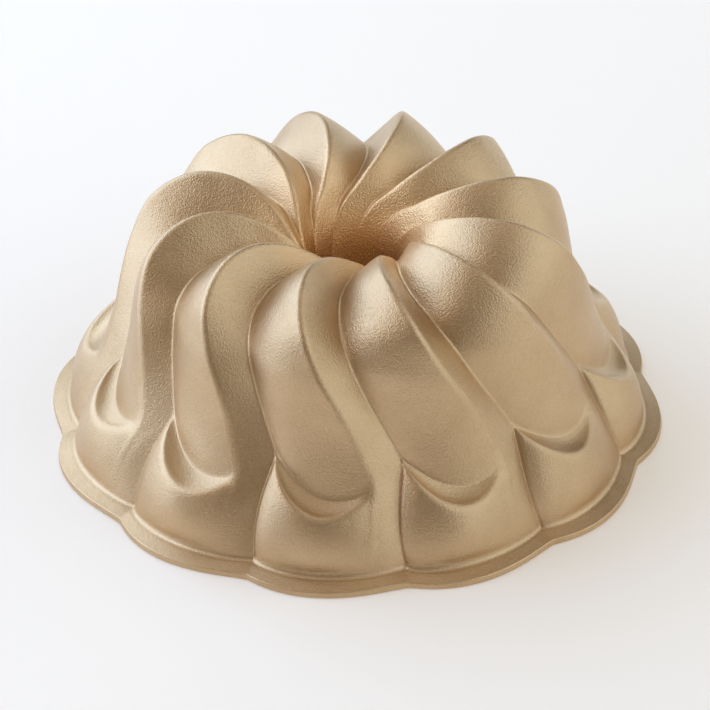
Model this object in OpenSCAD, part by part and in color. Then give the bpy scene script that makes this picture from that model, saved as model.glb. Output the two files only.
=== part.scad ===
// Swirl bundt pan, cast in one pour and stood on its rim with the crown up.
// The casting is split at its natural seams: rim flange, petal skirt, fluted wall,
// crown, funnel and centre tube. The parts meet face to face. Millimetres, +Z up,
// origin on the axis in the plane of the rim.

/* [Rim flange] */
// Radius of the rim in the middle of a lobe
rim_lobe_r = 129.5; // [127:0.5:134]
// Radius of the rim in a notch between two lobes
rim_notch_r = 124.5; // [122:0.5:126.5]
// Thickness of the rim flange
rim_t = 4; // [3:0.5:6]
// Height of the bevel round the rim's upper edge
rim_bevel = 0.8; // [0.4:0.2:1.2]
// How softly the notches between the rim's lobes are rounded, 0 for a sharp notch
rim_notch_soft = 0.45; // [0.1:0.05:0.6]

/* [Petal skirt] */
// Radius of the petals' foot in the middle of a petal
foot_lobe_r = 121; // [119:0.5:122.5]
// Radius of the petals' foot in the valley between two petals
foot_notch_r = 115.5; // [113:0.5:117]
// How softly the valleys between the petals are rounded at their foot
foot_notch_soft = 0.12; // [0.05:0.01:0.4]
// Radius of the fillet between the petals and the flange
foot_fillet = 2.5; // [1.5:0.5:3]
// How far a petal swells out between its foot and its lip
petal_swell = 1.8; // [0:0.2:3]
// How far the valley between two petals sways aside, in degrees
petal_sway = 1.2; // [0:0.2:2]

/* [Scallop ledges] */
// Widest part of the ledge between a petal's lip and the flute above it
ledge_w = 10; // [6:0.5:11]
// Fall of the ledge from the flute out to the lip, as a share of its width
ledge_fall = 0.25; // [0.1:0.05:0.4]
// How far the flute's rounded lower end hangs below its two corners
tongue_dip = 8.5; // [5:0.5:10]

/* [Flutes and wall] */
// Number of flutes round the pan
flutes = 12; // [11:1:13]
// Wall thickness of the casting
wall_t = 3.2; // [2.6:0.2:3.6]
// How far the broad face of a flute swells out on the wall
wall_swell = 2; // [0.5:0.25:3]
// How far the broad face of a flute swells up on the crown
crown_swell = 1.2; // [0.4:0.2:2]

/* [Centre tube] */
// Height at which the flutes have died out into the round tube
tube_top_z = 50; // [46:1:52]
// Bore radius of the tube at that height
tube_top_r = 16; // [15:0.5:17]
// Height of the tube's free end above the rim plane
tube_end_z = 6; // [2:1:10]
// Bore radius of the tube at its free end
tube_end_r = 13.5; // [12:0.5:15]

/* [Hidden] */
coat = "#b9a27e";
$fn = 96;

pitch = 360 / flutes;
// Direction of the first valley at the rim
front_turn = -110.7;

// Valley line of one flute: radius, turn, height. It climbs the wall from the foot of
// the flute, crosses the crown and swirls down the funnel into the tube.
valley_line = [
    [95.5, 1.5, 43], [91, -2.5, 55.5], [86.5, -6.5, 67], [81, -10.5, 79],
    [72, -13.5, 86.5], [61.5, -15, 89.5], [51, -15, 90.5], [40, -12, 90],
    [32.5, -7, 89.5], [26, 3, 86], [20.8, 13.5, 79.5], [17.8, 24, 68.5],
    [tube_top_r, 36, tube_top_z]
];
// Crest line of the same flute at the same stations: radius, share of the way from
// this valley to the next one, height.
crest_line = [
    [104.5, 0.775, 35.5], [100, 0.79, 50.5], [97, 0.79, 65.5], [93.5, 0.755, 79.5],
    [86.5, 0.7, 94.5], [71.5, 0.625, 104.5], [55, 0.58, 106], [39.5, 0.595, 101.5],
    [29, 0.8, 94], [22.5, 1.07, 85], [19, 1.12, 74], [17.2, 1.05, 62],
    [tube_top_r, 0.9, tube_top_z]
];
// Stations at which the wall ends, the crown ends and the flutes have died out
wall_end = 4;
crown_end = 8;
last = len(valley_line) - 1;

// Columns of one flute: shares of the broad face, then shares of the narrow band
face_cols = [0, 0.12, 0.3, 0.5, 0.7, 0.88, 1];
band_cols = [1 / 3, 2 / 3];
cols = len(face_cols) + len(band_cols);
crest_col = len(face_cols) - 1;
// Rows from one station to the next, and rows up a petal
rows_per_station = 2;
petal_rows = 5;
// Smallest cosine by which the set-back at an edge is deepened
least_mitre = 0.75;
// The dip of the flute's lower end dies out over this many stations
dip_reach = 1.5;

// --- curves -------------------------------------------------------------------

// Catmull-Rom curve through a list of points, at station s
function knot(line, i) =
    i < 0 ? 2 * line[0] - line[1]
    : i > len(line) - 1 ? 2 * line[len(line) - 1] - line[len(line) - 2]
    : line[i];
function spline(line, s) =
    let (i = min(floor(s), len(line) - 2), t = s - i)
    let (a = knot(line, i - 1), b = knot(line, i), c = knot(line, i + 1), d = knot(line, i + 2))
    0.5 * (2 * b + (c - a) * t + (2 * a - 5 * b + 4 * c - d) * t * t
        + (3 * b - 3 * c + d - a) * t * t * t);

function valley(s) = spline(valley_line, s);
function crest(s) =
    let (v = valley(s), c = spline(crest_line, s))
    [c[0], v[1] + c[1] * pitch, c[2]];

// Direction square to the skin in the half plane through the axis
function skin_dir(s) =
    let (a = max(s - 0.5, 0), b = min(s + 0.5, last))
    let (d = valley(b) + crest(b) - valley(a) - crest(a))
    [d[2], 0, -d[0]] / norm([d[2], 0, -d[0]]);

// Swell of the broad face at station s
function swell(s) =
    s < 2 ? wall_swell
    : s < wall_end ? wall_swell + (crown_swell - wall_swell) * (s - 2) / (wall_end - 2)
    : s < crown_end ? crown_swell
    : crown_swell * (last - s) / (last - crown_end);

// Fade of the dip of the flute's lower end, 1 at the foot
function dip(s) = pow(max(0, 1 - s / dip_reach), 1.5);

// A lobed outline: radius at a turn, between the notch radius and the lobe radius
function lobe(turn, notch_r, lobe_r, soft) =
    let (x = (turn / pitch) - floor(turn / pitch))
    let (hump = pow(max(0, sin(180 * pow(x, 0.78))), 0.85))
    let (share = (norm([hump, soft]) - soft) / (norm([1, soft]) - soft))
    notch_r + (lobe_r - notch_r) * share;

// --- rows of the net: [radius, turn, height] across one flute ----------------------

// Row across a flute at station s, between its valley v and its crest c: the broad
// face from valley to crest, then the narrow band down to the next valley
function face_point(s, v, c, x) =
    v + (c - v) * x + 4 * x * (1 - x) * swell(s) * skin_dir(s)
        + dip(s) * sin(180 * x) * [0.38 * tongue_dip, 0, -tongue_dip];
function flute_row(s, v, c) = concat(
    [for (x = face_cols) face_point(s, v, c, x)],
    [for (x = band_cols) c + (v + [0, pitch, 0] - c) * x]);

// Lip of the petal: out from the flute's lower end by the width of the ledge
function ledge(x) = ledge_w * pow(max(0, sin(180 * pow(x, 0.68))), 0.8);
function lip_row() =
    let (end = flute_row(0, valley(0), crest(0)))
    [for (j = [0 : cols - 1])
        let (w = j < crest_col ? ledge(face_cols[j]) : 0)
        end[j] + [w + 0.4, 0, -ledge_fall * w - 1]];

// Row up a petal, from its foot on the flange at 0 to its lip at 1
function petal_row(x) =
    [for (p = lip_row())
        let (turn = p[1] - valley_line[0][1])
        let (foot = [lobe(turn, foot_notch_r, foot_lobe_r, foot_notch_soft), turn, rim_t + foot_fillet])
        let (off = (turn / pitch) - round(turn / pitch))
        let (bow = 4 * x * (1 - x))
        foot + (p - foot) * x
            + bow * [petal_swell, -petal_sway * exp(-pow(off * pitch / 4, 2)), 0]];
function foot_row() = [for (p = petal_row(0)) [p[0] + foot_fillet, p[1], rim_t]];

petal_net = concat(
    [foot_row()],
    [for (i = [0 : petal_rows]) petal_row(i / petal_rows)]);
flute_start = len(petal_net);
flute_rows = last * rows_per_station;
flute_net = [for (i = [0 : flute_rows])
    let (s = i / rows_per_station)
    flute_row(s, valley(s), crest(s))];
net = concat(petal_net, flute_net);
function station_row(s) = flute_start + s * rows_per_station;

// --- both skins as points ---------------------------------------------------------

function place(p) = [p[0] * cos(p[1] + front_turn), p[0] * sin(p[1] + front_turn), p[2]];
function spin(p, a) = [p[0] * cos(a) - p[1] * sin(a), p[0] * sin(a) + p[1] * cos(a), p[2]];

outer = [for (row = net) [for (p = row) place(p)]];
function outer_at(i, j) =
    j < 0 ? spin(outer[i][j + cols], -pitch)
    : j >= cols ? spin(outer[i][j - cols], pitch)
    : outer[i][j];

// Squares to the skin on the two sides of a point of the net, level at the foot and
// in the tube
function unit(v) = v / norm(v);
function side_dir(i, j, from, to) =
    let (across = outer_at(i, j + to) - outer_at(i, j + from))
    let (up = outer_at(min(i + 1, len(net) - 1), j) - outer_at(max(i - 1, 0), j))
    let (n = cross(across, up))
    let (flat = i <= 1 || i == len(net) - 1)
    unit(flat ? [n[0], n[1], 0] : n);

// The point of the cavity's skin behind a point of the outer skin, as [radius, turn,
// height]. At an edge it lies deeper, so that both faces keep their thickness.
function behind(i, j) =
    let (a = side_dir(i, j, -1, 0), b = side_dir(i, j, 0, 1), m = unit(a + b))
    let (thick = i == 0 ? wall_t + foot_fillet : wall_t)
    let (p = outer[i][j], q = p - thick / max(least_mitre, a * m) * m)
    let (shift = atan2(p[0] * q[1] - p[1] * q[0], p[0] * q[0] + p[1] * q[1]))
    [norm([q[0], q[1]]), net[i][j][1] + shift, q[2]];

// On the flutes only the valleys and crests are set back, and the faces between them
// are drawn again, so that the cavity's skin never folds over itself
inner_net = concat(
    [for (i = [0 : flute_start - 1]) [for (j = [0 : cols - 1]) behind(i, j)]],
    [for (i = [0 : flute_rows])
        flute_row(i / rows_per_station, behind(flute_start + i, 0),
            behind(flute_start + i, crest_col))]);
inner = [for (row = inner_net) [for (p = row) place(p)]];

function all_round(row) =
    [for (k = [0 : flutes - 1]) for (p = row) spin(p, k * pitch)];

// Closed ring of casting between two rows of the net
module ring(first, end) {
    n = flutes * cols;
    rows = end - first;
    points = concat(
        [for (i = [first : end]) each all_round(outer[i])],
        [for (i = [first : end]) each all_round(inner[i])]);
    back = (rows + 1) * n;
    function quad(a, b, c, d) = [[a, b, c], [a, c, d]];
    faces = concat(
        [for (i = [0 : rows - 1]) for (j = [0 : n - 1])
            let (k = (j + 1) % n)
            each quad(i * n + j, (i + 1) * n + j, (i + 1) * n + k, i * n + k)],
        [for (i = [0 : rows - 1]) for (j = [0 : n - 1])
            let (k = (j + 1) % n)
            each quad(back + i * n + k, back + (i + 1) * n + k,
                back + (i + 1) * n + j, back + i * n + j)],
        [for (j = [0 : n - 1])
            let (k = (j + 1) % n)
            each quad(back + j, j, k, back + k)],
        [for (j = [0 : n - 1])
            let (k = (j + 1) % n)
            let (top = rows * n)
            each quad(back + top + k, top + k, top + j, back + top + j)]);
    polyhedron(points, faces);
}

// --- sub-parts ----------------------------------------------------------------------

// Lobed outline of the rim, drawn in by an inset
module rim_outline(inset) {
    polygon([for (a = [0 : 2 : 358])
        let (r = lobe(a, rim_notch_r, rim_lobe_r, rim_notch_soft) - inset)
        [r * cos(a + front_turn), r * sin(a + front_turn)]]);
}

// Flat lobed flange with the mouth of the pan cut through it
module rim_flange() color(coat) difference() {
    union() {
        linear_extrude(rim_t - rim_bevel) rim_outline(0);
        linear_extrude(rim_t) rim_outline(rim_bevel);
    }
    translate([0, 0, -1]) linear_extrude(rim_t + 2)
        polygon([for (p = all_round(inner[0])) [p[0], p[1]]]);
}

// Twelve petals from the flange up to the ledges round the flutes' lower ends
module petal_skirt() color(coat) ring(0, station_row(0));

// Steep fluted wall
module fluted_wall() color(coat) ring(station_row(0), station_row(wall_end));

// Crown where the flutes turn over
module crown() color(coat) ring(station_row(wall_end), station_row(crown_end));

// Funnel where the flutes swirl down and die out
module funnel() color(coat) ring(station_row(crown_end), station_row(last));

// Plain tapered tube down to the free end in the mouth of the pan
module centre_tube() color(coat)
    rotate_extrude() polygon([
        [tube_end_r, tube_end_z], [tube_end_r + wall_t, tube_end_z],
        [tube_top_r + wall_t, tube_top_z], [tube_top_r, tube_top_z]]);

rim_flange();
petal_skirt();
fluted_wall();
crown();
funnel();
centre_tube();
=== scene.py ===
"""Looks of the swirl bundt pan: one cast shell under a satin champagne-gold coat.

The shell is drawn as one fine net of rows that run round the pan. The rows start at the
petals' foot, climb the outside, cross the crown, go down the bore of the centre tube,
turn round its free end, come back up through the cavity and close under the rim. The
net is then cut into the same regions as the CAD nodes.
"""
import math

import bpy
import numpy as np
from mathutils import Matrix, Vector


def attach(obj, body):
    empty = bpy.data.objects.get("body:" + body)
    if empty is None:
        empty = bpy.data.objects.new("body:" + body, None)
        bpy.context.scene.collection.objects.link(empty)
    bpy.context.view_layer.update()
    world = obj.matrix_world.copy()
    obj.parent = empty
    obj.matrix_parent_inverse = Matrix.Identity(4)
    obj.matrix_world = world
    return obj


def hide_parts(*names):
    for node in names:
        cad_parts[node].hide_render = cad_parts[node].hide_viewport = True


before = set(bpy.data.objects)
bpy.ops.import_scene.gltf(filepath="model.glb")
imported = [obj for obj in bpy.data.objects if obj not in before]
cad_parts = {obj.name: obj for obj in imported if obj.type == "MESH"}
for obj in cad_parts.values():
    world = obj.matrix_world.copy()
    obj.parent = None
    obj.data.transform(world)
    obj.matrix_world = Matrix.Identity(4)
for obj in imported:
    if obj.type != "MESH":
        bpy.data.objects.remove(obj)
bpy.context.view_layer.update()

MM = 0.001

# --- the design, in millimetres and degrees, as in the CAD part ---------------------

FLUTES = 12
PITCH = 360 / FLUTES
FRONT_TURN = -110.7
WALL = 3.2
RIM_LOBE_R, RIM_NOTCH_R, RIM_T = 129.5, 124.5, 4.0
FOOT_LOBE_R, FOOT_NOTCH_R, FOOT_FILLET = 121.0, 115.5, 2.5
# Lobes: lean toward the next notch; softness of the notches and fullness of the lobes
LOBE_LEAN = 0.78
RIM_SOFT, RIM_FULL = 0.45, 0.85
FOOT_SOFT, FOOT_FULL = 0.12, 0.68
# Petals: bow outward, sideways sway near the notches and the width of that sway in degrees
PETAL_SWELL, PETAL_SWAY, SWAY_WIDTH = 1.8, 1.2, 4
# Ledge: width, fall per width, lean and fullness of its crescent, softness of its end
LEDGE_W, LEDGE_FALL, LEDGE_LEAN, LEDGE_FULL, LEDGE_SOFT = 10.0, 0.25, 0.68, 0.8, 1.2
# Step from the flute's foot to the lip, as radius, turn, height
LIP_STEP = np.array([0.4, 0, -1])
# Flute's rounded lower end: hang below its corners, push outward as a share of the hang,
# reach in stations and how quickly it fades
TONGUE_DIP, DIP_OUT, DIP_REACH, DIP_FADE = 8.5, 0.38, 1.5, 1.5
WALL_SWELL, CROWN_SWELL = 2.0, 1.2
TUBE_TOP_Z, TUBE_TOP_R = 50.0, 16.0
TUBE_END_Z, TUBE_END_R = 6.0, 13.5

# Valley of a flute: radius, turn, height at each station from its foot to the tube
VALLEY = np.array([
    [95.5, 1.5, 43], [91, -2.5, 55.5], [86.5, -6.5, 67], [81, -10.5, 79],
    [72, -13.5, 86.5], [61.5, -15, 89.5], [51, -15, 90.5], [40, -12, 90],
    [32.5, -7, 89.5], [26, 3, 86], [20.8, 13.5, 79.5], [17.8, 24, 68.5],
    [TUBE_TOP_R, 36, TUBE_TOP_Z]])
# Crest of the same flute: radius, share of the way to the next valley, height
CREST = np.array([
    [104.5, 0.775, 35.5], [100, 0.79, 50.5], [97, 0.79, 65.5], [93.5, 0.755, 79.5],
    [86.5, 0.7, 94.5], [71.5, 0.625, 104.5], [55, 0.58, 106], [39.5, 0.595, 101.5],
    [29, 0.8, 94], [22.5, 1.07, 85], [19, 1.12, 74], [17.2, 1.05, 62],
    [TUBE_TOP_R, 0.9, TUBE_TOP_Z]])
WALL_END, CROWN_END, LAST = 4, 8, len(VALLEY) - 1

# Rounding of the casting's edges: distance from the edge at which a fillet starts
CREST_ROUND, VALLEY_ROUND = 2.4, 1.3
CAVITY_CREST_ROUND, CAVITY_VALLEY_ROUND = 1.4, 3.0
LIP_OUT, LIP_IN = 3.4, 1.9
CREASE_OUT, CREASE_UP = 0.8, 2.6
EDGE_ROUND, RIM_EDGE_ROUND = 1.0, 0.6
# Distance from the petals' foot to the corner of the hollow fillet at the flange
FOOT_CORNER = 0.4
# Largest share of a band or a ledge that one fillet may take
FILLET_SHARE = 0.45
# Where the ledge has run out the petal passes into the flute over a longer, softer bend
VALLEY_BLEND, CREST_BLEND, BLEND_WIDTH = 8.0, 10.0, 2.0
# Share of that bend at the valleys, where the tips of the petals stay crisp
VALLEY_SHARE = 0.35
# Small step along a curve that gives its direction
NUDGE = 0.01
# How far the ledge is scooped out below the straight line from the lip to the flute
SCOOP = 1.15
# Fall of the flange's top face from the petals' foot to its edge
RIM_FALL = 1.2
# Draft of the flange's outer side, and of its mouth from the top down to the rim's plane
SIDE_DRAFT, TOP_DRAFT = 0.2, 0.5
MOUTH_TOP_DRAFT, MOUTH_LOW_DRAFT, MOUTH_DRAFT = 0.1, 0.2, 0.5
# Places across the broad face, from either edge, that tell how the cavity's skin turns
NEAR_EDGE = 0.12
# Least cosine for the mitre where two skins of the cavity meet
MITRE_LIMIT = 0.75

# Fineness of the net: columns in each zone of a flute, rows in each zone going up
VALLEY_COLS, FACE_COLS, CREST_COLS, BAND_COLS = 4, 22, 8, 10
PETAL_ROWS, LIP_ROWS, LEDGE_ROWS, CREASE_ROWS = 26, 8, 8, 10
STATION_ROWS, TUBE_ROWS, EDGE_ROWS, MOUTH_ROWS = 12, 10, 6, 2
UNDER_ROWS, INNER_ROWS, SIDE_ROWS, FLANGE_ROWS = 6, 3, 4, 8


def spline(line, s):
    """Catmull-Rom curve through the rows of line, at the stations in array s."""
    padded = np.vstack([2 * line[0] - line[1], line, 2 * line[-1] - line[-2]])
    i = np.clip(np.floor(s).astype(int), 0, len(line) - 2)
    t = (s - i)[..., None]
    a, b, c, d = (padded[i + k] for k in range(4))
    return 0.5 * (2 * b + (c - a) * t + (2 * a - 5 * b + 4 * c - d) * t ** 2
                  + (3 * b - 3 * c + d - a) * t ** 3)


def bend(a, corner, b, t):
    """Fillet from a to b that rounds off the corner between them."""
    return (1 - t) ** 2 * a + 2 * t * (1 - t) * corner + t ** 2 * b


def ease(a, toward_a, toward_b, b, t):
    """Curve from a to b that leaves a along one tangent and meets b along another."""
    p, q = a + (toward_a - a) * 2 / 3, b + (toward_b - b) * 2 / 3
    return (1 - t) ** 3 * a + 3 * t * (1 - t) ** 2 * p + 3 * t ** 2 * (1 - t) * q + t ** 3 * b


def span(a, b):
    """Distance between points given as radius, turn, height."""
    arc = (a[..., 0] + b[..., 0]) / 2 * np.radians(b[..., 1] - a[..., 1])
    return np.sqrt((a[..., 0] - b[..., 0]) ** 2 + arc ** 2 + (a[..., 2] - b[..., 2]) ** 2)


def cartesian(p):
    a = np.radians(p[..., 1] + FRONT_TURN)
    return np.stack([p[..., 0] * np.cos(a), p[..., 0] * np.sin(a), p[..., 2]], -1)


def lobe(turn, notch_r, lobe_r, soft, fullness):
    """Radius of a lobed outline; soft rounds its notches, a low fullness fills its lobes."""
    x = turn / PITCH - np.floor(turn / PITCH)
    h = np.clip(np.sin(np.pi * x ** LOBE_LEAN), 0, 1) ** fullness
    h = (np.sqrt(h * h + soft * soft) - soft) / (math.sqrt(1 + soft * soft) - soft)
    return notch_r + (lobe_r - notch_r) * h


def outer_valley(s):
    return spline(VALLEY, s)


def outer_crest(s):
    p = spline(CREST, s)
    p[..., 1] = outer_valley(s)[..., 1] + p[..., 1] * PITCH
    return p


def skin_dir(s):
    """Direction square to the skin in the half plane through the axis."""
    a, b = np.maximum(s - 0.5, 0), np.minimum(s + 0.5, LAST)
    d = outer_valley(b) + outer_crest(b) - outer_valley(a) - outer_crest(a)
    n = np.stack([d[..., 2], 0 * s, -d[..., 0]], -1)
    return n / np.linalg.norm(n, axis=-1, keepdims=True)


def swell(s):
    """How far the broad face bulges from the straight line between valley and crest."""
    at = [0, 2, WALL_END, CROWN_END, LAST]
    return np.interp(s, at, [WALL_SWELL, WALL_SWELL, CROWN_SWELL, CROWN_SWELL, 0])


def dip(s):
    """Share of the dip of the flute's lower end that is left at station s."""
    return np.clip(1 - s / DIP_REACH, 0, 1) ** DIP_FADE


def sagged(x, s):
    """Shift of the broad face at x of its width, where the flute's lower end hangs down."""
    return dip(s)[..., None] * np.sin(np.pi * x) * np.array([DIP_OUT, 0, -1]) * TONGUE_DIP


def ledge(x):
    """Width of the ledge across the broad face; it runs out softly toward the crest."""
    x = np.clip(x, 0, 1)
    w = LEDGE_W * np.clip(np.sin(np.pi * x ** LEDGE_LEAN), 0, 1) ** LEDGE_FULL
    tiny = 1e-9
    return w * w / (w + LEDGE_SOFT * np.clip(2 * x - 1, 0, 1) + tiny)


# --- columns across one flute -------------------------------------------------------

def columns():
    """Zone of the flute and place in that zone, for each column of the net."""
    def places(zone, first, last, n):
        return [(zone, first + (last - first) * k / n) for k in range(n)]
    return (places("valley_out", 0.5, 1, VALLEY_COLS) + places("face", 0, 1, FACE_COLS)
            + places("crest", 0, 1, CREST_COLS) + places("band", 0, 1, BAND_COLS)
            + places("valley_in", 0, 0.5, VALLEY_COLS))


COLUMNS = columns()


class Skin:
    """One side of the casting, drawn from its valley and crest lines."""

    def __init__(self, valley, crest, foot_in, crest_round, valley_round):
        self.valley, self.crest, self.foot_in = valley, crest, foot_in
        self.crest_round, self.valley_round = crest_round, valley_round

    def flute(self, s, column):
        """Points of one column at the stations s, and their share of the broad face."""
        zone, t = column
        v, c = self.valley(s), self.crest(s)
        turn = np.array([0, PITCH, 0])
        face_len, band_len = span(v, c), span(c, v + turn)
        room = FILLET_SHARE * band_len
        at_crest = np.minimum(self.crest_round, room)
        at_valley = np.minimum(self.valley_round, room)

        def face(x):
            x = np.asarray(x)[..., None]
            bulge = 4 * x * (1 - x) * swell(s)[..., None] * skin_dir(s)
            return v + (c - v) * x + bulge + sagged(x, s)

        def band(x):
            return c + (v + turn - c) * np.asarray(x)[..., None]

        xa, xb = at_valley / face_len, 1 - at_crest / face_len
        ya, yb = at_crest / band_len, 1 - at_valley / band_len
        if zone == "face":
            x = xa + (xb - xa) * t
            return face(x), x
        if zone == "crest":
            return bend(face(xb), c, band(ya), t), xb + (1 - xb) * t
        if zone == "band":
            return band(ya + (yb - ya) * t), 1 + 0 * s
        if zone == "valley_out":
            return bend(band(yb) - turn, v, face(xa), t), xa * (2 * t - 1)
        return bend(band(yb), v + turn, face(xa) + turn, t), 1 + 0 * s

    def rise(self, column):
        """One column from the petals' foot to the top of the tube."""
        zero = np.zeros(1)
        crease, x = self.flute(zero, column)
        zone, place = column
        on_face = zone in ("valley_out", "face", "crest")
        width = ledge(x)[..., None] if on_face else 0 * crease[..., :1]
        lip = crease + width * np.array([1, 0, -LEDGE_FALL]) + LIP_STEP
        turn = crease[..., 1] - VALLEY[0, 1]
        foot_r = lobe(turn, FOOT_NOTCH_R, FOOT_LOBE_R, FOOT_SOFT, FOOT_FULL) - self.foot_in
        foot = np.stack([foot_r, turn, 0 * turn + RIM_T + FOOT_FILLET], -1)
        off = turn / PITCH - np.round(turn / PITCH)
        sway = PETAL_SWAY * np.exp(-(off * PITCH / SWAY_WIDTH) ** 2)

        def petal(x):
            bow = 4 * x * (1 - x)
            side = np.stack([0 * sway + PETAL_SWELL, -sway, 0 * sway], -1)
            return foot + (lip - foot) * x + bow * side

        def scoop(x):
            sag = SCOOP * width / LEDGE_W * np.array([0, 0, -4])
            return lip + (crease - lip) * x + x * (1 - x) * sag

        def flute(s):
            return self.flute(np.atleast_1d(s), column)[0]

        def share(n):
            return (np.arange(n) / n)[:, None]

        def fillet(before, x, after, y, rows):
            """From curve before at x to curve after at y, along both tangents."""
            a, b = before(x), after(y)
            return ease(a, a + (a - before(x - NUDGE)) * (1 - x) / NUDGE,
                        b - (after(y + NUDGE) - b) * y / NUDGE, b, share(rows))

        def long_bend(x, y, rows):
            """From the petal at x to the flute at y in one sweep, without a ledge."""
            a, b = petal(x), flute(y)
            before, after = petal(x - NUDGE), flute(y + NUDGE)
            reach = span(a, b)[0] / 2
            toward_a = a + (a - before) * reach / span(before, a)[0]
            toward_b = b - (after - b) * reach / span(b, after)[0]
            return ease(a, toward_a, toward_b, b, share(rows))

        ledge_len, petal_len = span(lip, crease)[0], span(foot, lip)[0]
        narrow = math.exp(-float(width[0, 0]) / BLEND_WIDTH)
        toward_crest = {"face": place, "crest": 1, "band": 1 - place}.get(zone, 0)
        blend = VALLEY_BLEND + (CREST_BLEND - VALLEY_BLEND) * toward_crest
        below = 1 - (LIP_OUT + (blend - LIP_OUT) * narrow) / petal_len
        above = (CREASE_UP + (blend - CREASE_UP) * narrow) / span(crease, flute(1))[0]
        at_lip, at_crease = (min(r / ledge_len, FILLET_SHARE) for r in (LIP_IN, CREASE_OUT))

        petals = petal(below * share(PETAL_ROWS))
        lips = fillet(petal, below, scoop, at_lip, LIP_ROWS)
        shelf = scoop(at_lip + (1 - at_crease - at_lip) * share(LEDGE_ROWS))
        creases = fillet(scoop, 1 - at_crease, flute, above, CREASE_ROWS)
        stepped = np.concatenate([lips, shelf, creases])
        plain = long_bend(below, above, len(stepped))
        weight = narrow * (VALLEY_SHARE + (1 - VALLEY_SHARE) * toward_crest)
        step_rows = stepped + (plain - stepped) * weight
        first = above + (1 - above) * np.arange(STATION_ROWS) / STATION_ROWS
        rest = 1 + np.arange((LAST - 1) * STATION_ROWS + 1) / STATION_ROWS
        flutes = flute(np.concatenate([first, rest]))
        return np.concatenate([petals, step_rows, flutes])

    def net(self):
        """Rows of points of one flute, from the petals' foot to the top of the tube."""
        return np.stack([self.rise(c) for c in COLUMNS], 1)


# --- the cavity's lines lie one wall thickness behind the outer ones ------------------

HALF = np.arange(2 * LAST + 1) / 2


def behind():
    """Valley and crest lines of the cavity, at every half station."""
    turn = np.array([0, PITCH, 0])
    v, c = outer_valley(HALF), outer_crest(HALF)

    def face(x):
        n = skin_dir(HALF) * swell(HALF)[:, None]
        return v + (c - v) * x + 4 * x * (1 - x) * n + sagged(x, HALF)

    band_c, band_v = c + (v + turn - c) / 3, c - turn + (v + turn - c) * 2 / 3

    def set_back(line, before, after):
        p = cartesian(line)
        up = np.gradient(p, axis=0)

        def square(d):
            n = np.cross(d, up)
            n[-1, 2] = 0
            return n / np.linalg.norm(n, axis=1, keepdims=True)

        a, b = square(p - cartesian(before)), square(cartesian(after) - p)
        m = (a + b) / np.linalg.norm(a + b, axis=1, keepdims=True)
        q = p - WALL * m / np.maximum(MITRE_LIMIT, (a * m).sum(1))[:, None]
        shift = np.degrees(np.arctan2(p[:, 0] * q[:, 1] - p[:, 1] * q[:, 0],
                                      p[:, 0] * q[:, 0] + p[:, 1] * q[:, 1]))
        return np.stack([np.hypot(q[:, 0], q[:, 1]), line[:, 1] + shift, q[:, 2]], 1)

    return set_back(v, band_v, face(NEAR_EDGE)), set_back(c, face(1 - NEAR_EDGE), band_c)


CAVITY_VALLEY, CAVITY_CREST = behind()
outside = Skin(outer_valley, outer_crest, 0, CREST_ROUND, VALLEY_ROUND)
cavity = Skin(lambda s: spline(CAVITY_VALLEY, 2 * s), lambda s: spline(CAVITY_CREST, 2 * s),
              WALL, CAVITY_CREST_ROUND, CAVITY_VALLEY_ROUND)


# --- the whole closed net ----------------------------------------------------------------

def steps(n):
    """Shares of the way for n rows, ready to multiply a row of points."""
    return (np.arange(n) / n)[:, None, None]


def tube_rows(top_out, top_in):
    """Bore of the tube, its rounded free end and its side in the cavity."""

    def level(row, r, z):
        return np.stack([np.full(len(row), r), row[:, 1], np.full(len(row), z)], -1)

    bore_end = level(top_out, TUBE_END_R, TUBE_END_Z + WALL / 2)
    side_end = level(top_in, TUBE_END_R + WALL, TUBE_END_Z + WALL / 2)
    bore = top_out + (bore_end - top_out) * steps(TUBE_ROWS)[1:]
    side = side_end + (top_in - side_end) * steps(TUBE_ROWS)
    a = np.pi * (np.arange(EDGE_ROWS) / EDGE_ROWS)[:, None]
    mid, half = (bore_end + side_end) / 2, (side_end - bore_end) / 2
    lip = mid - half * np.cos(a)[..., None]
    lip[..., 2] -= WALL / 2 * np.sin(a)
    return bore, lip, side


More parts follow.
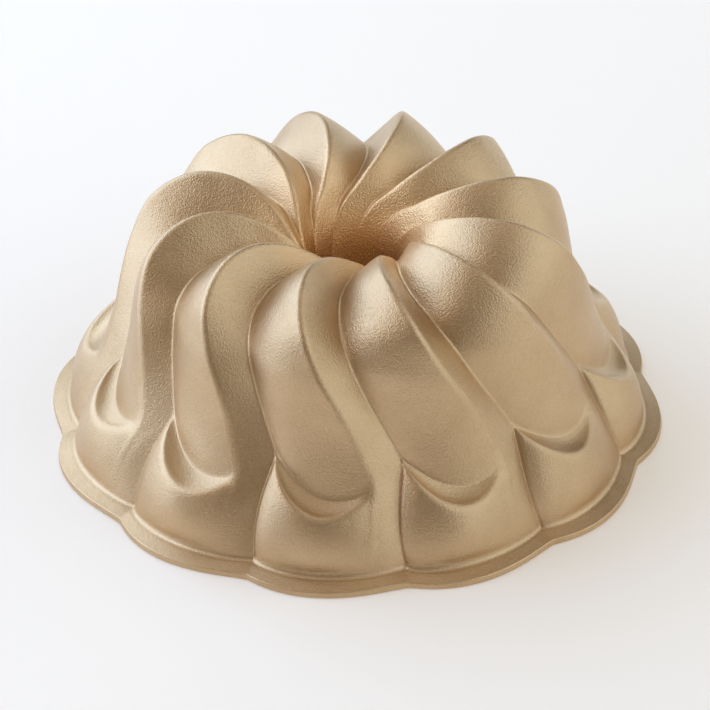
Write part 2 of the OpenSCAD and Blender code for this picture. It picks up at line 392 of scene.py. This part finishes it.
def rim_rows(foot_out, foot_in):
    """Rim flange from the mouth's edge, under the rim, round its edge and to the foot."""
    turn = foot_out[:, 1]
    edge_r = lobe(turn, RIM_NOTCH_R, RIM_LOBE_R, RIM_SOFT, RIM_FULL)
    mouth_r = foot_in[:, 0]
    edge_z = RIM_T - RIM_FALL

    def at(r, z):
        return np.stack([r + 0 * turn, turn, z + 0 * turn], -1)

    def line(a, b, rows):
        return a + (b - a) * steps(rows)

    mouth_top = at(mouth_r + MOUTH_TOP_DRAFT, RIM_T)
    mouth_top[:, 1] = foot_in[:, 1]
    edge_up = at(mouth_r + MOUTH_LOW_DRAFT, EDGE_ROUND)
    edge_in = at(mouth_r + EDGE_ROUND + MOUTH_DRAFT, 0)
    under_end = at(edge_r - EDGE_ROUND, 0)
    side_low = at(edge_r - SIDE_DRAFT, EDGE_ROUND)
    shoulder = at(edge_r - 2 * SIDE_DRAFT, edge_z - RIM_EDGE_ROUND)
    top_start = at(edge_r - TOP_DRAFT - RIM_EDGE_ROUND, edge_z)
    top_end = at(foot_out[:, 0] + FOOT_FILLET, RIM_T)

    runs = [
        line(foot_in, mouth_top, MOUTH_ROWS),
        line(mouth_top, edge_up, INNER_ROWS),
        bend(edge_up, at(mouth_r + MOUTH_DRAFT, 0), edge_in, steps(EDGE_ROWS)),
        line(edge_in, under_end, UNDER_ROWS),
        bend(under_end, at(edge_r, 0), side_low, steps(EDGE_ROWS)),
        line(side_low, shoulder, SIDE_ROWS),
        bend(shoulder, at(edge_r - TOP_DRAFT, edge_z), top_start, steps(EDGE_ROWS)),
        line(top_start, top_end, FLANGE_ROWS),
    ]
    corner = at(foot_out[:, 0] + FOOT_CORNER, RIM_T)
    fillet = bend(top_end, corner, foot_out, steps(EDGE_ROWS))
    return runs, fillet


out_net, in_net = outside.net(), cavity.net()[::-1]
bore, tube_lip, tube_side = tube_rows(out_net[-1], in_net[0])
rim, foot_fillet = rim_rows(out_net[0], in_net[-1])

whole = np.concatenate([foot_fillet, out_net, bore, tube_lip, tube_side, in_net[:-1]] + rim)
row_count = len(whole)
foot_top = len(foot_fillet)
tube_start = foot_top + len(out_net)
side_end = tube_start + len(bore) + len(tube_lip) + len(tube_side)


def station(s):
    """Row of the outside at station s."""
    return foot_top + PETAL_ROWS + LIP_ROWS + LEDGE_ROWS + CREASE_ROWS + s * STATION_ROWS


def mirror(row):
    """Row of the cavity behind a row of the outside."""
    return side_end + len(out_net) - 1 - (row - foot_top)


def both_sides(start, end):
    """Outer run and cavity run of a region, each as its first and last row."""
    return (start, end), (mirror(end), mirror(start))


mouth_row = mirror(foot_top) + MOUTH_ROWS

# Rows of each region: one or two runs of the whole net
REGIONS = {
    "petal_skirt": ((0, station(0)), (mirror(station(0)), mouth_row)),
    "fluted_wall": both_sides(station(0), station(WALL_END)),
    "crown": both_sides(station(WALL_END), station(CROWN_END)),
    "funnel": ((station(CROWN_END), tube_start - 1), (side_end, mirror(station(CROWN_END)))),
    "centre_tube": ((tube_start - 1, side_end),),
    "rim_flange": ((mouth_row, row_count),),
}


def round_the_axis(net):
    """Twelve copies of one flute's net, side by side, as points in metres."""
    turns = [net + np.array([0, PITCH * k, 0]) for k in range(FLUTES)]
    return cartesian(np.concatenate(turns, 1)) * MM


points = round_the_axis(whole)
across = np.roll(points, -1, 1) - np.roll(points, 1, 1)
upward = np.roll(points, -1, 0) - np.roll(points, 1, 0)
normals = np.cross(across, upward)
normals /= np.maximum(np.linalg.norm(normals, axis=-1, keepdims=True), 1e-12)


def region_mesh(name, runs):
    """Closed ring of casting between the rows of one or two runs of the net."""
    n = points.shape[1]
    order = np.concatenate([np.arange(first, last + 1) % row_count for first, last in runs])
    co, no = points[order].reshape(-1, 3), normals[order].reshape(-1, 3)
    j = np.arange(n)
    k = (j + 1) % n
    faces = []
    for i in range(len(order)):
        a, b = i * n, (i + 1) % len(order) * n
        faces.append(np.stack([a + j, a + k, b + k, b + j], 1))
    quads = np.concatenate(faces)
    mesh = bpy.data.meshes.new(name)
    mesh.vertices.add(len(co))
    mesh.vertices.foreach_set("co", co.ravel())
    mesh.loops.add(quads.size)
    mesh.loops.foreach_set("vertex_index", quads.ravel())
    mesh.polygons.add(len(quads))
    mesh.polygons.foreach_set("loop_start", np.arange(len(quads)) * 4)
    mesh.update(calc_edges=True)
    mesh.validate()
    mesh.normals_split_custom_set_from_vertices(no)
    obj = bpy.data.objects.new(name, mesh)
    bpy.context.scene.collection.objects.link(obj)
    return obj


# --- coat: lengths in metres -----------------------------------------------------------

CLEAR_COAT, CLEAR_COAT_ROUGHNESS = 0.15, 0.35
SMOOTHEST, ROUGHEST = 0.35, 0.45
DARK_TINT, LIGHT_TINT = (0.50, 0.345, 0.185, 1), (0.69, 0.505, 0.31, 1)
# Painted bounce light: a deeper orange near the bore that stands for light reflected back and
# forth between the gold walls there
BORE_BOUNCE_COLOR, BORE_BOUNCE_SHARE = (0.84, 0.56, 0.29, 1), 0.8
# Share of the light tint that the cloud, the pebble and the grain can each bring
CLOUD_TINT, PEBBLE_TINT, GRAIN_TINT = 0.45, 0.15, 0.4
# Strength and depth of each layer of bumps
RIPPLE_BUMP, PEBBLE_BUMP = (0.11, 0.0009), (0.18, 0.0003)
SPRAY_BUMP, GRAIN_BUMP = (0.6, 0.00022), (0.5, 0.00015)
# Heights and radii between which a change in the coat takes place; the radii also bound the
# painted bounce light in the bore
RIPPLES_FULL_Z, RIPPLES_GONE_Z = 0.045, 0.075
BORE_R, BORE_FADE_R = 0.020, 0.050
TOP_FADE_Z, TOP_Z = 0.075, 0.105
# How much rougher the spray lies at the bore, and the top's share of that
BORE_SPRAY, TOP_SPRAY_SHARE = 1.6, 0.5


def coat_material():
    """Satin champagne-gold metallic coat: spray grain, uneven tint, faint casting ripples,
    painted bounce light in the bore.
    """
    mat = bpy.data.materials.new("gold_coat")
    mat.use_nodes = True
    nodes, links = mat.node_tree.nodes, mat.node_tree.links
    shader = nodes["Principled BSDF"]
    shader.inputs["Metallic"].default_value = 1.0
    shader.inputs["Coat Weight"].default_value = CLEAR_COAT
    shader.inputs["Coat Roughness"].default_value = CLEAR_COAT_ROUGHNESS
    place = nodes.new("ShaderNodeTexCoord")

    def noise(scale, detail, roughness, stretch=(1, 1, 1)):
        """Noise with about scale features in a metre, finer along a stretched axis."""
        fit = nodes.new("ShaderNodeMapping")
        fit.inputs["Scale"].default_value = stretch
        links.new(place.outputs["Object"], fit.inputs["Vector"])
        node = nodes.new("ShaderNodeTexNoise")
        node.inputs["Scale"].default_value = scale
        node.inputs["Detail"].default_value = detail
        node.inputs["Roughness"].default_value = roughness
        links.new(fit.outputs["Vector"], node.inputs["Vector"])
        return node.outputs["Fac"]

    def remap(value, low, high, to_low, to_high):
        """Value scaled from the range low..high to the range to_low..to_high."""
        node = nodes.new("ShaderNodeMapRange")
        for socket, number in zip(("From Min", "From Max", "To Min", "To Max"),
                                  (low, high, to_low, to_high)):
            node.inputs[socket].default_value = number
        links.new(value, node.inputs["Value"])
        return node.outputs["Result"]

    def math_node(operation, a, b):
        """Result of the operation on two values, each a socket or a float."""
        node = nodes.new("ShaderNodeMath")
        node.operation = operation
        for socket, value in zip(node.inputs, (a, b)):
            if isinstance(value, float):
                socket.default_value = value
            else:
                links.new(value, socket)
        return node.outputs["Value"]

    def bumped(height, strength_and_depth, below=None):
        node = nodes.new("ShaderNodeBump")
        strength, depth = strength_and_depth
        node.inputs["Strength"].default_value = strength
        node.inputs["Distance"].default_value = depth
        links.new(height, node.inputs["Height"])
        if below is not None:
            links.new(below, node.inputs["Normal"])
        return node.outputs["Normal"]

    grain, spray = noise(2200, 2, 0.6), noise(1450, 1, 0.5)
    pebble, cloud = noise(900, 2, 0.5), noise(35, 3, 0.55)
    ripple = noise(180, 3, 0.6, (1, 1, 5))
    patches = noise(45, 1, 0.5)

    # Ripples left by the mould show in patches on the petals and the lower wall
    split = nodes.new("ShaderNodeSeparateXYZ")
    links.new(place.outputs["Object"], split.inputs["Vector"])
    low_down = remap(split.outputs["Z"], RIPPLES_FULL_Z, RIPPLES_GONE_Z, 1, 0)
    patchy = math_node("MULTIPLY", remap(patches, 0.42, 0.6, 0, 1), low_down)
    normal = bumped(math_node("MULTIPLY", ripple, patchy), RIPPLE_BUMP)
    # The spray lies rougher and sparkles more on the steep bands near the top and the bore
    x2, y2 = (math_node("POWER", split.outputs[axis], 2.0) for axis in "XY")
    radius = math_node("SQRT", math_node("ADD", x2, y2), 0.0)
    near_bore = remap(radius, BORE_R, BORE_FADE_R, 1, 0)
    near_top = remap(split.outputs["Z"], TOP_FADE_Z, TOP_Z, 0, TOP_SPRAY_SHARE)
    rougher = math_node("MULTIPLY", math_node("MAXIMUM", near_bore, near_top), BORE_SPRAY)
    coarse = math_node("ADD", 1.0, rougher)
    normal = bumped(pebble, PEBBLE_BUMP, normal)
    normal = bumped(math_node("MULTIPLY", spray, coarse), SPRAY_BUMP, normal)
    normal = bumped(grain, GRAIN_BUMP, normal)
    links.new(normal, shader.inputs["Normal"])

    tint = nodes.new("ShaderNodeMix")
    tint.data_type = "RGBA"
    tint.inputs["A"].default_value = DARK_TINT
    tint.inputs["B"].default_value = LIGHT_TINT
    speckle = math_node("ADD", remap(pebble, 0.35, 0.65, 0, PEBBLE_TINT),
                        remap(grain, 0.35, 0.65, 0, GRAIN_TINT))
    links.new(math_node("ADD", remap(cloud, 0.3, 0.7, 0, CLOUD_TINT), speckle),
              tint.inputs["Factor"])
    # Painted bounce light: the colour near the bore is pushed toward a deeper orange, as if
    # lit by reflections off the gold walls around it
    bore = nodes.new("ShaderNodeMix")
    bore.data_type = "RGBA"
    bore.inputs["B"].default_value = BORE_BOUNCE_COLOR
    links.new(tint.outputs["Result"], bore.inputs["A"])
    links.new(math_node("MULTIPLY", near_bore, BORE_BOUNCE_SHARE), bore.inputs["Factor"])
    links.new(bore.outputs["Result"], shader.inputs["Base Color"])
    links.new(remap(grain, 0.3, 0.7, SMOOTHEST, ROUGHEST), shader.inputs["Roughness"])
    return mat


coat = coat_material()
for region, runs in REGIONS.items():
    piece = region_mesh(region + "_casting", runs)
    piece.data.materials.append(coat)
    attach(piece, "root")
    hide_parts(region)


# --- stage: angles in degrees, lengths in metres ------------------------------------

FLOOR_REACH = 4.0
FLOOR_COLOR, FLOOR_GLOW_COLOR, FLOOR_GLOW = (0.97, 0.92, 0.85, 1), (1, 0.96, 0.91, 1), 0.14
ROOM_COLOR, ROOM_GLOW = (1, 0.82, 0.64, 1), 0.235
CAMERA_ELEVATION, CAMERA_ROLL, CAMERA_DISTANCE, AIM_HEIGHT = 34.85, 0.64, 1.420, 0.0269
CAMERA_LENS_MM, CAMERA_SENSOR_MM = 171.9, 36
LIGHT_DISTANCE = 2.3
# Name, turn, elevation, width and height, radiance of each light
LIGHTS = [
    ("window_left", 162, 28, (3.8, 2.4), (1.43, 1.86, 2.6)),
    ("window_back", 107, 36, (1.2, 2.2), (0.72, 0.87, 1.0)),
    ("wall_back", 65, 9, (2.8, 0.72), (0.95, 1.15, 1.35)),
    ("wall_right", -15, 32, (4.0, 2.5), (0.80, 0.91, 0.99)),
    ("ceiling", 90, 88, (1.9, 1.9), (0.45, 0.43, 0.4)),
    ("fill_front", -145, 40, (1.4, 1.4), (0.5, 0.39, 0.25)),
]


def floor():
    """Plain pale floor that the pan's rim rests on."""
    mesh = bpy.data.meshes.new("floor")
    w = FLOOR_REACH
    mesh.from_pydata([(-w, -w, 0), (w, -w, 0), (w, w, 0), (-w, w, 0)], [], [(0, 1, 2, 3)])
    obj = bpy.data.objects.new("floor", mesh)
    bpy.context.scene.collection.objects.link(obj)
    mat = bpy.data.materials.new("floor_white")
    mat.use_nodes = True
    shader = mat.node_tree.nodes["Principled BSDF"]
    shader.inputs["Base Color"].default_value = FLOOR_COLOR
    shader.inputs["Roughness"].default_value = 0.5
    shader.inputs["Emission Color"].default_value = FLOOR_GLOW_COLOR
    shader.inputs["Emission Strength"].default_value = FLOOR_GLOW
    mesh.materials.append(mat)


def softbox(name, turn, elevation, size, glow):
    """Flat light of the given width and height that faces the pan from turn and elevation.

    Turn 0 is the pan's right, 90 its back; glow is the light's radiance.
    """
    a, e = math.radians(turn), math.radians(elevation)
    outward = Vector((math.cos(a) * math.cos(e), math.sin(a) * math.cos(e), math.sin(e)))
    data = bpy.data.lights.new(name, "AREA")
    data.shape = "RECTANGLE"
    data.size, data.size_y = size
    data.energy = math.pi * size[0] * size[1] * max(glow)
    data.color = [g / max(glow) for g in glow]
    obj = bpy.data.objects.new(name, data)
    obj.location = outward * LIGHT_DISTANCE
    obj.rotation_euler = outward.to_track_quat("Z", "Y").to_euler()
    bpy.context.scene.collection.objects.link(obj)


def camera():
    """Camera on the front side, 35 degrees up, with a long lens."""
    elevation, roll = math.radians(CAMERA_ELEVATION), math.radians(CAMERA_ROLL)
    back = Vector((0, -math.cos(elevation), math.sin(elevation)))
    right = Vector((1, 0, 0))
    up = back.cross(right)
    data = bpy.data.cameras.new("camera")
    data.lens, data.sensor_width = CAMERA_LENS_MM, CAMERA_SENSOR_MM
    obj = bpy.data.objects.new("camera", data)
    basis = Matrix((right, up, back)).transposed().to_4x4()
    place = Matrix.Translation(Vector((0, 0, AIM_HEIGHT)) + back * CAMERA_DISTANCE)
    obj.matrix_world = place @ basis @ Matrix.Rotation(-roll, 4, "Z")
    bpy.context.scene.collection.objects.link(obj)
    bpy.context.scene.camera = obj


floor()
for light in LIGHTS:
    softbox(*light)
world = bpy.data.worlds.new("room")
world.use_nodes = True
world.node_tree.nodes["Background"].inputs["Color"].default_value = ROOM_COLOR
world.node_tree.nodes["Background"].inputs["Strength"].default_value = ROOM_GLOW
bpy.context.scene.world = world
bpy.context.scene.view_settings.view_transform = "Standard"
camera()
